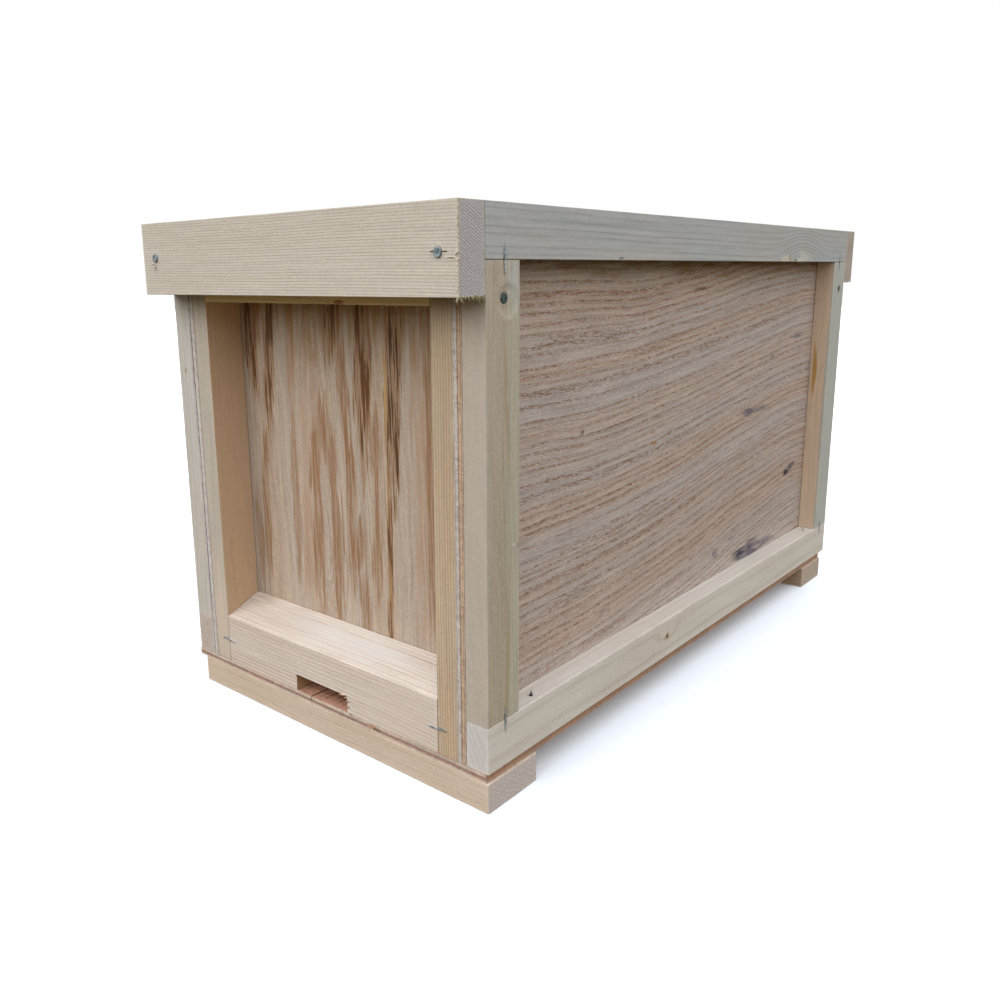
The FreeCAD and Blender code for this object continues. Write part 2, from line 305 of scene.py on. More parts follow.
def wood(
    name, along, pith, ring, pale, dark,
    tilt=(0.0, 0.0), bend=3.0, sweep=None, wander=0.9, contrast=0.6, blotch=None, blotch_share=0.6,
    bands=None, fibre=0.12, pores=0.0, pore_tone=None, end_contrast=0.7, late_share=0.55, evenness=0.45,
    dash_scales=(1.0, 1.0), ring_pores=1.0, stray=0.10, dense=(), flecks=0.0, fuzz=0.08, halves=None,
    knots=(), humps=(), stains_and_shade=(), mark_gaps=0.75, strands=(), layers=None, layer_sway=0.0,
    patches=(), edge_tone=None, end_tones=None, end_specks=0.20, relief=0.00025,
):
    """Sawn wood or veneer. Growth rings are wavy tubes round a pith line that runs along one axis,
    so faces, edges and end grain all cut the same rings. Lengths are in mm."""
    g = Graph(name)
    axis = "XYZ".index(along)
    cross = [i for i in range(3) if i != axis]
    parts = g.split(g.place)
    run = parts[axis]

    def stretched(run_scale, cross_scale):
        factors = [cross_scale, cross_scale, cross_scale]
        factors[axis] = run_scale
        return g.scaled(g.place, factors)

    # the rings' distance from the pith, bent by slow and fine waves
    seeds = ((pith[0], pith[1], 0.3), (7.3, pith[0], pith[1]))
    slow = [
        g.noise(g.shifted(stretched(*scales), seed), 1.0, 1.0)
        for scales, seed in zip(SLOW_WAVES, seeds)
    ]
    squares = []
    for i, index in enumerate(cross):
        offset = g.minus(parts[index], pith[i] * MM)
        leaning = g.plus(offset, g.times(run, tilt[i]))
        bent = g.plus(leaning, g.sway(slow[i], bend * MM, 0.25, 0.75))
        squares.append(g.math("POWER", bent, 2.0))
    distance = g.math("SQRT", g.plus(*squares))
    distance = g.plus(distance, g.sway(g.noise(stretched(*FINE_WAVES)), 0.05 * ring * MM))
    if sweep:
        start, end, lift = sweep
        distance = g.minus(distance, g.spread(run, start * MM, end * MM, 0.0, lift * MM, smooth=True))
    boldness = []
    for centre, size, lift, bold in humps:
        rise = g.near(centre, size, ragged=0.0, soft=1.0)
        distance = g.plus(distance, g.times(rise, lift * MM))
        boldness.append(g.spread(rise, 0.0, 0.6, 1.0, bold))

    def flow(run_scale, cross_scale, offset=0.0):
        """Coordinates along the grain, so that fibres and dashes bend round knots as the rings do."""
        along_grain = g.plus(g.times(run, run_scale), offset)
        round_pith = g.minus(parts[cross[0]], parts[cross[1]])
        return g.join(along_grain, g.times(distance, cross_scale), g.times(round_pith, 0.12 * cross_scale))

    # late wood: a dark line that ends each ring, bolder in some rings and places than in others
    uneven = g.noise(g.join(g.times(distance, 0.35 / (ring * MM)), pith[0], pith[1]), 1.0, 1.0)
    turns = g.times(distance, 1.0 / (ring * MM))
    turns = g.plus(turns, g.times(uneven, 2.0 * wander))
    late = g.ramp(
        g.math("FRACT", turns), (0.0, 0.7), (0.10, 0.06), (1.0 - late_share, 0.0),
        (1.0 - 0.45 * late_share, 0.45), (0.94, 1.0),
    )
    band = g.times(late, g.spread(g.random(g.math("FLOOR", turns)), 0.0, 1.0, evenness, 1.0))
    band = g.times(band, g.spread(g.noise(stretched(*PATCHY)), 0.3, 0.7, 0.2 + 0.8 * evenness, 1.15))
    for bold in boldness:
        band = g.times(band, bold)

    # the ground colour drifts over the board and from one group of rings to the next
    ground = pale
    if blotch is not None:
        cloud = g.noise(g.shifted(stretched(*CLOUD), (0.0, pith[1], pith[0])), 1.0, 3.0, 0.6)
        ground = g.mix(g.spread(cloud, 0.42, 0.62, 0.0, blotch_share), ground, blotch)
    if halves:
        side_axis, centre, width, tone = halves
        border = g.plus(parts[side_axis], g.sway(slow[0], 0.8 * width * MM))
        border = g.spread(border, (centre - width) * MM, (centre + width) * MM, smooth=True)
        ground = g.mix(border, ground, tone)
    if bands:
        tone, share = bands
        group = g.noise(g.join(g.times(distance, 42.0), 3.1, pith[0]), 1.0, 1.0)
        ground = g.mix(g.spread(group, 0.42, 0.60, 0.0, share), ground, tone)
    colour = g.mix(g.times(band, contrast, clamp=True), ground, dark)

    # fibres, sawdust and pores
    streaks = g.noise(flow(*FIBRES), 1.0, 3.0, 0.65)
    colour = g.mix(1.0, colour, g.ramp(streaks, (0.3, 1.0 - fibre), (0.7, 1.0 + fibre * 0.4)), "MULTIPLY")
    sawdust = g.ramp(g.noise(g.place, SAWDUST, 3.0, 0.7), (0.32, 1.0 - fuzz), (0.68, 1.0 + fuzz))
    colour = g.mix(1.0, colour, sawdust, "MULTIPLY")
    height = g.minus(g.times(streaks, 0.55), g.times(band, 0.35))
    if pores:
        long_scales, short_scales = (np.multiply(each, dash_scales) for each in (LONG_DASHES, SHORT_DASHES))
        long_dash = g.noise(flow(*long_scales), 1.0, 2.0, 0.6)
        short_dash = g.noise(flow(*short_scales, 5.0), 1.0, 1.0)
        dash = g.spread(g.plus(long_dash, short_dash), 0.99, 1.10)
        crowd = g.spread(band, 0.05, 0.50, stray, max(stray, ring_pores))
        for centre, size, share, *turn in dense:
            patch = g.near(centre, size, *turn, ragged=0.5, grain=stretched(*MARK_GRAIN), soft=1.0)
            crowd = g.math("MAXIMUM", crowd, g.times(patch, share))
        hole = g.times(g.times(dash, crowd), pores, clamp=True)
        colour = g.mix(hole, colour, pore_tone or dark)
        height = g.minus(height, g.times(hole, 0.8))
    if flecks:
        fleck = g.noise(flow(*FLECKS, 11.0))
        colour = g.mix(g.spread(fleck, 0.55, 0.70, 0.0, flecks), colour, lit(pale, 1.45))

    # knots, stains and painted shade, and dark threads in streaks
    for centre, size, tone in knots:
        core = g.near(centre, size, ragged=0.3)
        colour = g.mix(core, colour, tone)
        height = g.plus(height, g.times(core, 0.4))
    if stains_and_shade:
        grain = stretched(*MARK_GRAIN)
        gaps = g.noise(flow(MARK_GAP_SCALES[0] * dash_scales[0], MARK_GAP_SCALES[1]), 1.0, 3.0, 0.6)
        broken = g.spread(gaps, 0.43, 0.53, mark_gaps, 1.0)
        for centre, size, tone, share, *turn in stains_and_shade:
            mark = g.near(centre, size, *turn, ragged=0.45, grain=grain, soft=0.8)
            colour = g.mix(g.times(g.times(mark, share), broken), colour, tone)
    if strands:
        across = g.minus(parts[cross[0]], parts[cross[1]])
        across = g.plus(across, g.sway(slow[0], 2.5 * MM, 0.25, 0.75))
        thread = g.noise(g.join(g.times(run, THREADS[0]), g.times(across, THREADS[1]), 3.0), 1.0, 3.0, 0.65)
        for centre, size, tone, share, *turn in strands:
            patch = g.near(centre, size, *turn, ragged=0.30, grain=stretched(*STRAND_RIM), soft=0.7)
            inside = g.spread(patch, 0.0, 0.2)
            wash = g.plus(thread, g.times(patch, 0.45))
            wash = g.times(g.spread(wash, 0.66, 0.76, 0.0, 0.62 * share), inside)
            colour = g.mix(wash, colour, STRAND_WASH)
            dark_thread = g.plus(thread, g.times(patch, 0.26))
            dark_thread = g.times(g.spread(dark_thread, 0.71, 0.77, 0.0, share), inside)
            colour = g.mix(dark_thread, colour, tone)

    # end grain shows its rings and specks; plywood shows its layers there
    facing = g.math("ABSOLUTE", g.split(g.normal)[layers[0] if layers else axis])
    if layers:
        thickness_axis, low, high, tones = layers
        depth = g.spread(parts[thickness_axis], low * MM, high * MM)
        depth = g.plus(depth, g.sway(g.noise(g.place, LAYER_DETAIL, 3.0, 0.7), 0.04))
        if layer_sway:
            depth = g.plus(depth, g.sway(g.noise(g.place, 9.0, 3.0, 0.6), layer_sway))
        edge_colour = g.ramp(depth, *tones, sharp=True)
        if edge_tone:
            edge_axis, tone = edge_tone
            sideways = g.math("ABSOLUTE", g.split(g.normal)[edge_axis])
            edge_colour = g.mix(g.spread(sideways, 0.6, 0.8, 0.0, 0.85), edge_colour, tone)
        for centre, size, tone, share in patches:
            patch = g.near(centre, size, ragged=0.3, soft=0.4)
            edge_colour = g.mix(g.times(patch, share), edge_colour, tone)
        torn = g.ramp(g.noise(g.place, TORN_DETAIL, 3.0, 0.7), (0.3, 0.70), (0.62, 1.06))
        edge_colour = g.mix(1.0, edge_colour, torn, "MULTIPLY")
        colour = g.mix(g.spread(facing, 0.55, 0.75, 1.0, 0.0), colour, edge_colour)
    else:
        end_pale, end_dark = end_tones or (lit(pale, END_TINT), lit(dark, END_TINT * END_DARK))
        sawn = g.mix(g.times(band, end_contrast, clamp=True), end_pale, end_dark)
        specks = g.noise(g.place, END_SPECK_DETAIL)
        specks = g.ramp(specks, (0.38, 1.0 - end_specks), (0.58, 1.0 + 0.5 * end_specks))
        sawn = g.mix(1.0, sawn, specks, "MULTIPLY")
        colour = g.mix(g.spread(facing, 0.6, 0.85), colour, sawn)

    # arrises are rubbed paler in places, and dents are darkened: rust and dirt in most, painted shadow
    # round the staples
    worn = g.times(g.attribute("edge"), g.spread(g.noise(g.place, WEAR_DETAIL, 3.0), 0.40, 0.62))
    colour = g.mix(g.times(worn, 0.30), colour, lit(pale, 1.25))
    colour = g.mix(g.times(g.attribute("dent_darkening"), 0.75), colour, lit(dark, DENT_DARK))
    matt = g.spread(g.noise(stretched(*MATT)), 0.3, 0.7, ROUGHNESS - 0.07, ROUGHNESS + 0.12)
    return g.finish(colour, matt, height, relief)


def steel(name, tone, bright, roughness=0.38, grain=420.0, front_tone=None):
    """Galvanised steel: dull zinc with paler patches and fine scratches, in another tone at the front."""
    g = Graph(name)
    patch = g.noise(g.place, grain, 3.0, 0.6)
    scratch = g.noise(g.scaled(g.place, SCRATCHES))
    shade = g.plus(g.times(patch, 0.75), g.times(scratch, 0.25))
    colour = g.mix(g.spread(shade, 0.38, 0.66), tone, bright)
    if front_tone:
        colour = g.mix(g.spread(g.split(g.place)[1], -0.02, 0.02), front_tone, colour)
    dull = g.spread(patch, 0.3, 0.7, roughness - 0.1, roughness + 0.18)
    material = g.finish(colour, dull, shade, relief=0.00006, strength=0.5, shine=0.5)
    g.shader.inputs["Metallic"].default_value = 0.7
    return material


# ---------------------------------------------------------------- board shapes

EDGE_SHARES = (0.35, 0.7, 1.0, 1.5)
MARK_SHARES = (-1.25, -1.0, -0.8, -0.5, -0.2, 0.2, 0.5, 0.8, 1.0, 1.25)
LEAST_GAP = 0.12 * MM
PLANER_WAVES = 0.12
LEVEL_FOOT = 13.0  # a sloped rail keeps this much of its foot level, so its notch stays square


def lattice(ix, iy, iz, seed):
    h = (ix * 374761393 + iy * 668265263 + iz * 1440662683 + seed * 974634777) & 0xFFFFFFFF
    h = ((h ^ (h >> 13)) * 1274126177) & 0xFFFFFFFF
    return ((h ^ (h >> 16)) & 0xFFFF) / 65535.0


def value_noise(points, seed):
    """Smooth noise from 0 to 1 at points whose features are one unit apart."""
    cell = np.floor(points).astype(np.int64)
    f = points - cell
    f = f * f * (3.0 - 2.0 * f)
    total = np.zeros(len(points))
    for corner in np.ndindex(2, 2, 2):
        weight = np.ones(len(points))
        for k in range(3):
            weight *= f[:, k] if corner[k] else 1.0 - f[:, k]
        total += weight * lattice(*(cell + corner).T, seed)
    return total


def grid_lines(low, high, step, edge, places=()):
    """Places of grid lines from low to high, closer near both ends and round each given place."""
    lines = list(np.linspace(low, high, max(2, round((high - low) / step)) + 1))
    for share in EDGE_SHARES:
        lines += [low + share * edge, high - share * edge]
    for centre, reach in places:
        lines += [centre + share * reach for share in MARK_SHARES]
    kept = [low]
    for line in sorted(v for v in lines if low < v < high):
        if line - kept[-1] > LEAST_GAP and high - line > LEAST_GAP:
            kept.append(line)
    return np.array(kept + [high])


def shell(lines, solid):
    """The closed skin round the solid cells of a grid: vertices and outward four-sided faces."""
    counts = [len(axis_lines) for axis_lines in lines]
    padded = np.pad(solid, 1)
    quads = []
    for axis in range(3):
        b, c = (axis + 1) % 3, (axis + 2) % 3
        for side in (0, 1):
            shift = 1 if side else -1
            open_beyond = ~np.roll(padded, -shift, axis)[1:-1, 1:-1, 1:-1]
            cells = np.argwhere(solid & open_beyond)
            corners = []
            for db, dc in ((0, 0), (1, 0), (1, 1), (0, 1)):
                at = cells.copy()
                at[:, axis] += side
                at[:, b] += db
                at[:, c] += dc
                corners.append((at[:, 0] * counts[1] + at[:, 1]) * counts[2] + at[:, 2])
            if not side:
                corners.reverse()
            quads.append(np.stack(corners, 1))
    quads = np.concatenate(quads)
    used, flat = np.unique(quads, return_inverse=True)
    index = np.stack(np.unravel_index(used, counts), 1)
    points = np.stack([lines[k][index[:, k]] for k in range(3)], 1)
    return points, flat.reshape(quads.shape)


def make_object(name, points, faces, material, attributes=None):
    mesh = bpy.data.meshes.new(name)
    mesh.from_pydata(points.tolist(), [], [list(map(int, face)) for face in faces])
    mesh.polygons.foreach_set("use_smooth", [True] * len(mesh.polygons))
    for key, values in (attributes or {}).items():
        layer = mesh.attributes.new(key, "FLOAT", "POINT")
        layer.data.foreach_set("value", np.asarray(values, np.float32))
    mesh.materials.append(material)
    mesh.update()
    obj = bpy.data.objects.new(name, mesh)
    bpy.context.scene.collection.objects.link(obj)
    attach(obj, "root")
    return obj


def pit(centre, face, radius, depth, rim=0.0, darkening=0.6, power=2.0):
    """A dent: where, which way its face looks ("-Y"), half sizes along X, Y and Z, and depth, in mm."""
    sizes = (radius, radius, radius) if not hasattr(radius, "__len__") else radius
    return dict(at=centre, face=face, size=sizes, depth=depth, rim=rim, darkening=darkening, power=power)


def board(
    name, node, material, seed, arris=0.7, step=(4.0, 2.4), along="Y",
    notch=None, slope=None, marks=(), set_back=0.12, layers=None,
):
    """A dense solid board in place of a CAD node: rounded uneven arrises, faint waves, dents and chips."""
    low, high = (np.array(corner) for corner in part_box(node))
    axis = "XYZ".index(along)
    rng = np.random.default_rng(seed)
    low = low + rng.uniform(0.0, set_back, 3) * MM
    high = high - rng.uniform(0.0, set_back, 3) * MM
    lines = []
    for k in range(3):
        places = [(mark["at"][k] * MM, mark["size"][k] * MM) for mark in marks]
        if notch:
            places += [(notch[0][k], 1.2 * MM), (notch[1][k], 1.2 * MM)]
        spacing = step[0] if k == axis else step[1]
        found = list(grid_lines(low[k], high[k], spacing * MM, arris * 1.3 * MM, places))
        if notch:
            exact = [v for v in (notch[0][k], notch[1][k]) if low[k] < v < high[k]]
            found = [v for v in found if all(abs(v - e) > LEAST_GAP for e in exact)] + exact
        if layers and layers["axis"] == k:
            cuts = [low[k] + share * (high[k] - low[k]) for share in layers["cuts"]]
            for cut in cuts:
                found = [v for v in found if abs(v - cut) > 2.0 * LEAST_GAP]
                found += [cut - LEAST_GAP, cut + LEAST_GAP]
        lines.append(np.array(sorted(found)))
    solid = np.ones([len(v) - 1 for v in lines], bool)
    if notch:
        middle = [(v[1:] + v[:-1]) / 2 for v in lines]
        inside = [(m > notch[0][k]) & (m < notch[1][k]) for k, m in enumerate(middle)]
        solid &= ~np.einsum("i,j,k->ijk", *[v.astype(int) for v in inside]).astype(bool)
    points, faces = shell(lines, solid)
    rest = points.copy()

    # arrises: each vertex near one moves onto an arc whose radius changes along the board
    wander = value_noise(points / (9.0 * MM), seed) * 0.6 + value_noise(points / (2.7 * MM), seed + 1) * 0.4
    radius = (arris * MM * (0.35 + 0.95 * wander))[:, None]
    core = np.clip(points, low + radius, high - radius)
    away = points - core
    length = np.linalg.norm(away, axis=1, keepdims=True)
    outward = np.where(length > 0, away / np.maximum(length, 1e-9), 0.0)
    points = core + outward * radius

    # how near each vertex is to an arris
    to_side = np.sort(np.minimum(rest - low, high - rest), axis=1)
    edge = np.clip(1.0 - to_side[:, 1] / (3.0 * MM), 0.0, 1.0)
    dent_darkening = np.zeros(len(points))

    # faint waves left by the planer
    waves = value_noise(points / (38.0 * MM), seed + 2) + 0.4 * value_noise(points / (9.0 * MM), seed + 3)
    points = points - outward * (PLANER_WAVES * MM * waves)[:, None]

    if layers:
        depth = (rest[:, layers["axis"]] - low[layers["axis"]]) / (high - low)[layers["axis"]]
        layer = np.searchsorted(layers["cuts"], depth)
        tear = value_noise(rest / (2.2 * MM), seed + 4)
        sunk = np.array(layers["sunk"])[layer] * MM * (0.3 + 1.2 * tear)
        face_out = outward.copy()
        face_out[:, layers["axis"]] = 0.0
        on_edge = np.abs(outward[:, layers["axis"]]) < 0.4
        points = points - face_out * (sunk * on_edge)[:, None]
    for mark in marks:
        k = "XYZ".index(mark["face"][1])
        sign = 1.0 if mark["face"][0] == "+" else -1.0
        centre = np.array(mark["at"]) * MM
        reach = np.array(mark["size"]) * MM
        local = (rest - centre) / reach
        local[:, k] = 0.0
        gap = np.linalg.norm(local, axis=1)
        level = np.abs(rest[:, k] - centre[k]) < max(2.0 * MM, reach[k])
        ragged = 0.75 + 0.5 * value_noise(rest / (0.9 * MM), seed + 5)
        weight = np.clip(1.0 - gap ** mark["power"], 0.0, 1.0) * level * ragged
        lip = np.clip(1.0 - np.abs(gap - 1.15) / 0.35, 0.0, 1.0) * level
        points[:, k] -= sign * MM * (mark["depth"] * weight - mark["rim"] * lip)
        # a mark's darkening: rust and dirt for most marks, painted shadow round the staples
        near_mark = np.clip(1.4 - gap, 0.0, 1.0) * level
        dent_darkening = np.maximum(dent_darkening, mark["darkening"] * np.clip(near_mark * 1.6, 0.0, 1.0))
    if slope:
        outer, inner = slope
        share = np.clip((points[:, 1] - low[1]) / (high[1] - low[1]), 0.0, 1.0)
        if outer[0] == "+Y":
            share = 1.0 - share
        foot = low[2] + LEVEL_FOOT * MM
        top = low[2] + (outer[1] + (inner - outer[1]) * share) * MM
        lowered = foot + (points[:, 2] - foot) * (top - foot) / (high[2] - foot)
        points[:, 2] = np.where(points[:, 2] > foot, lowered, points[:, 2])
    piece = make_object(name, points, faces, material, {"edge": edge, "dent_darkening": dent_darkening})
    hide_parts(node)


def slivers(name, material, strands, sides=6, rings=9):
    """Torn splinters, each a closed tapered strand bent through three points, with a width in mm."""
    points, faces = [], []
    for start, middle, end, width in strands:
        first = len(points)
        start, middle, end = (np.array(p) * MM for p in (start, middle, end))
        span = end - start
        across = np.cross(span, (0.3, 0.5, 0.8))
        across /= np.linalg.norm(across)
        flat = np.cross(span, across)
        flat /= np.linalg.norm(flat)
        points.append(start)
        for i in range(1, rings):
            t = i / rings
            centre = (1 - t) ** 2 * start + 2 * t * (1 - t) * middle + t * t * end
            size = width * MM * 0.5 * (math.sin(math.pi * t ** 0.7)) ** 0.8
            for k in range(sides):
                angle = 2.0 * math.pi * k / sides
                points.append(centre + size * (math.cos(angle) * across + 0.45 * math.sin(angle) * flat))
        points.append(end)
        last = len(points) - 1
        for k in range(sides):
            after = (k + 1) % sides
            faces.append((first, first + 1 + after, first + 1 + k))
            for i in range(rings - 2):
                a = first + 1 + i * sides
                faces.append((a + k, a + after, a + sides + after, a + sides + k))
            a = first + 1 + (rings - 2) * sides
            faces.append((a + k, a + after, last))
    return make_object(name, np.array(points), faces, material)


# ---------------------------------------------------------------- the box

FRONT = -263.5
RIGHT = 138.5
SIDE_PLY = 122.5
END_PLY = -236.0
BATTEN_FACE = -283.5
FLOOR_TOP = 24.0
SIDE_LIGHT = 0.80  # how much light the right side gets, next to the front


def shaded(red, green, blue):
    """The base colour that looks like this sRGB colour on the right side of the box."""
    return base(red, green, blue, SIDE_LIGHT)


def on_right(y, z, length, height, *look):
    """A stain, knot or hump on the right face: its centre and half sizes, then what it does there."""
    return ((RIGHT, y, z), (3.0, length, height), *look)


def on_front(x, z, width, height, *look):
    """The same on the front face."""
    return ((x, FRONT, z), (width, 3.0, height), *look)


CREAM = base(193, 184, 170)
CREAM_LINE = base(150, 130, 104)
WARM = base(198, 184, 168)
WARM_LINE = base(158, 124, 94)
GREY = shaded(156, 156, 152)
GREY_LINE = shaded(104, 108, 108)
OLIVE = shaded(152, 148, 126)
PINK = shaded(166, 150, 138)
KNOT = base(86, 52, 30)
PLY_PALE = base(196, 182, 166)
PLY_LINE = base(134, 106, 102)
PLY_WHITE = base(186, 176, 166)
PLY_TAN = base(184, 156, 128)
PLY_RED = base(152, 120, 106)
PLY_BROWN = base(164, 128, 102)
OAK_BROWN = base(136, 98, 64)
DARK_STREAK = base(98, 64, 34)
RED_STREAK = base(162, 128, 102)
YELLOW_STREAK = base(186, 144, 74)

zinc = steel("galvanised_zinc", base(84, 96, 104), base(172, 184, 192))
# the corner nails are the same zinc as the batten nails, painted darker and greener: painted shade and a
# painted reflection of green ground
shaded_zinc = steel("galvanised_zinc_dull_painted_shade", base(48, 60, 56), base(112, 128, 124), 0.45)
wire = steel("staple_wire", base(164, 172, 182), base(230, 235, 242), 0.28, 260.0)
bright_tip = steel(
    "bright_steel", base(190, 192, 194), base(228, 230, 232), 0.24, front_tone=base(40, 42, 58)
)
burst_metal = steel("burst_nail_tip", base(40, 42, 62), base(84, 90, 116), 0.40)

front_batten_wood = wood(
    "front_batten_wood", "X", (-388.0, 107.0), 1.42, CREAM, CREAM_LINE, tilt=(0.0, 0.008),
    contrast=0.45, wander=0.08, evenness=0.85, late_share=0.5, blotch=base(186, 174, 160),
    blotch_share=0.5, fibre=0.10, bend=0.8, end_contrast=0.80, end_specks=0.30,
    end_tones=(base(186, 178, 174), base(120, 106, 104)),
    stains_and_shade=[((-21.9, BATTEN_FACE, 294.2), (3.4, 3.0, 1.8), base(182, 176, 112), 0.6),
            ((-127.0, BATTEN_FACE, 303.0), (2.4, 3.0, 1.6), base(226, 220, 206), 0.8)],
)
rear_batten_wood = wood(
    "rear_batten_wood", "X", (392.0, 150.0), 1.7, WARM, WARM_LINE, tilt=(0.01, -0.015),
    contrast=0.5, wander=0.3, blotch=base(180, 162, 140),
    end_contrast=0.8, end_tones=(base(178, 164, 150), base(110, 88, 74)),
)
top_rail_wood = wood(
    "right_top_rail_wood", "Y", (96.0, 110.0), 4.2, GREY, GREY_LINE, tilt=(0.0, 0.006),
    contrast=0.42, blotch=PINK, blotch_share=0.35, bend=1.2, wander=0.8, late_share=0.5,
    humps=[((RIGHT, 157.0, 301.0), (60.0, 66.0, 38.0), -16.0, 2.0),
           ((RIGHT, 151.0, 300.0), (60.0, 17.0, 12.0), -6.0, 1.5)],
    knots=[on_right(117.0, 303.6, 11.0, 4.6, shaded(172, 167, 150)),
           on_right(127.7, 305.0, 1.6, 3.6, shaded(150, 112, 78)),
           ((RIGHT, 140.2, 302.8), (2.0, 1.6, 1.1), KNOT)],
    stains_and_shade=[on_right(150.0, 303.0, 44.0, 9.0, shaded(178, 174, 156), 0.35),
            on_right(155.0, 304.0, 20.0, 8.0, shaded(188, 184, 168), 0.6),
            on_right(-120.0, 305.0, 90.0, 4.0, shaded(168, 156, 146), 0.5),
            on_right(-150.0, 322.0, 90.0, 2.6, shaded(126, 130, 132), 0.4)],
    mark_gaps=0.9,
)
left_top_rail_wood = wood(
    "left_top_rail_wood", "Y", (-70.0, 210.0), 1.8, CREAM, CREAM_LINE, tilt=(0.0, -0.01),
    contrast=0.55, blotch=PINK,
)
bottom_rail_wood = wood(
    "right_bottom_rail_wood", "Y", (20.0, -20.0), 4.2, shaded(186, 178, 166),
    shaded(152, 134, 114), contrast=0.42, blotch=shaded(178, 164, 150),
    blotch_share=0.45, fibre=0.06, bend=1.5, late_share=0.35,
    end_contrast=0.35, end_tones=(base(189, 181, 175), base(144, 136, 134)), end_specks=0.06,
    stains_and_shade=[((130.0, 0.0, 52.0), (14.0, 400.0, 1.5), shaded(170, 156, 142), 0.4)],
    humps=[((RIGHT, -59.0, 39.3), (8.0, 30.0, 11.0), 4.2, 1.3)],
    knots=[on_right(-59.0, 39.3, 4.4, 3.0, base(168, 146, 120)),
           on_right(-59.0, 39.3, 2.6, 2.0, base(104, 78, 54))],
)
left_bottom_rail_wood = wood(
    "left_bottom_rail_wood", "Y", (-40.0, -30.0), 3.4, WARM, WARM_LINE, contrast=0.45, blotch=OLIVE,
    blotch_share=0.3, fibre=0.10, end_contrast=0.2, end_tones=(base(179, 163, 151), base(146, 128, 118)),
)
front_stile_wood = wood(
    "right_front_stile_wood", "Z", (70.0, -420.0), 2.6, shaded(160, 147, 130),
    shaded(126, 108, 84), tilt=(0.0, 0.012), contrast=0.26, bend=3.5,
    blotch=shaded(148, 134, 112), blotch_share=0.7,
    halves=(1, -245.0, 3.0, shaded(160, 152, 134)), mark_gaps=1.0, flecks=0.25,
    stains_and_shade=[on_front(125.0, 170.0, 60.0, 400.0, shaded(155, 145, 137), 0.50),
            on_right(-246.5, 230.0, 2.6, 62.0, shaded(140, 124, 92), 0.55, (0.06, 0, 0)),
            on_right(-245.4, 96.0, 2.4, 84.0, shaded(140, 124, 92), 0.60, (-0.04, 0, 0)),
            on_right(-240.2, 152.0, 1.4, 0.8, base(226, 222, 210), 0.95),
            on_right(-246.0, 232.0, 1.0, 5.0, base(186, 182, 166), 0.45),
            on_right(-239.0, 290.0, 11.0, 26.0, shaded(163, 162, 155), 0.65)],
)
rear_stile_wood = wood(
    "right_rear_stile_wood", "Z", (30.0, 372.0), 2.0, shaded(194, 171, 148),
    shaded(156, 122, 90), contrast=0.22, fibre=0.10,
    halves=(0, 136.6, 1.2, shaded(159, 159, 150)), mark_gaps=1.0,
    stains_and_shade=[((126.5, 235.5, 203.0), (3.4, 3.0, 30.0), base(180, 134, 60), 0.85)],
)
left_stile_wood = wood(
    "left_stile_wood", "Z", (-80.0, -390.0), 1.7, base(188, 183, 175), base(150, 132, 114), contrast=0.34,
    blotch=base(182, 166, 150), blotch_share=0.5, fibre=0.10,
    knots=[on_front(-131.0, 232.0, 1.6, 3.4, base(150, 128, 104))],
)
end_stile_wood = wood(
    "front_right_end_stile_wood", "Z", (190.0, -300.0), 1.75, base(184, 167, 146),
    base(140, 106, 76), contrast=0.95, wander=0.3, blotch=base(186, 158, 124), bend=1.0,
    evenness=0.6, stains_and_shade=[((108.0, FRONT, 250.0), (30.0, 40.0, 110.0), base(158, 142, 118), 0.45)],
    mark_gaps=0.9,
)
shaded_stile_wood = wood(
    "front_left_end_stile_wood", "Z", (-190.0, -420.0), 3.0, base(176, 164, 149),
    base(156, 136, 112), contrast=0.14, fibre=0.08, bend=1.0, mark_gaps=1.0,
    halves=(0, -101.4, 0.25, base(202, 170, 138)),
    stains_and_shade=[on_front(-109.0, 52.0, 14.0, 70.0, base(198, 177, 157), 0.7)],
)
entrance_wood = wood(
    "entrance_rail_wood", "X", (-400.0, -110.0), 2.1, base(203, 190, 177), base(166, 126, 96),
    tilt=(0.0, 0.01), contrast=0.92, wander=1.0, evenness=0.30, blotch=base(196, 180, 166),
    fibre=0.10, bend=1.4, end_contrast=0.4, end_tones=(base(172, 134, 100), base(120, 84, 54)),
    # the first stain is painted shade on the left part of the slope, the second painted shade in the
    # slope's back corner by the left stile
    stains_and_shade=[((-60.0, -250.0, 64.0), (60.0, 22.0, 8.0), base(176, 162, 148), 0.55),
            ((-88.0, -236.0, 69.0), (16.0, 16.0, 8.0), base(160, 134, 112), 0.5),
            ((20.0, -250.0, 64.0), (80.0, 22.0, 8.0), base(203, 195, 187), 0.6),
            on_front(80.0, 40.0, 70.0, 40.0, base(192, 172, 152), 0.3)],
    mark_gaps=0.8,
)
rear_end_wood = wood(
    "rear_end_wood", "X", (330.0, -90.0), 2.4, WARM, WARM_LINE, contrast=0.55, blotch=PINK,
    blotch_share=0.35,
)
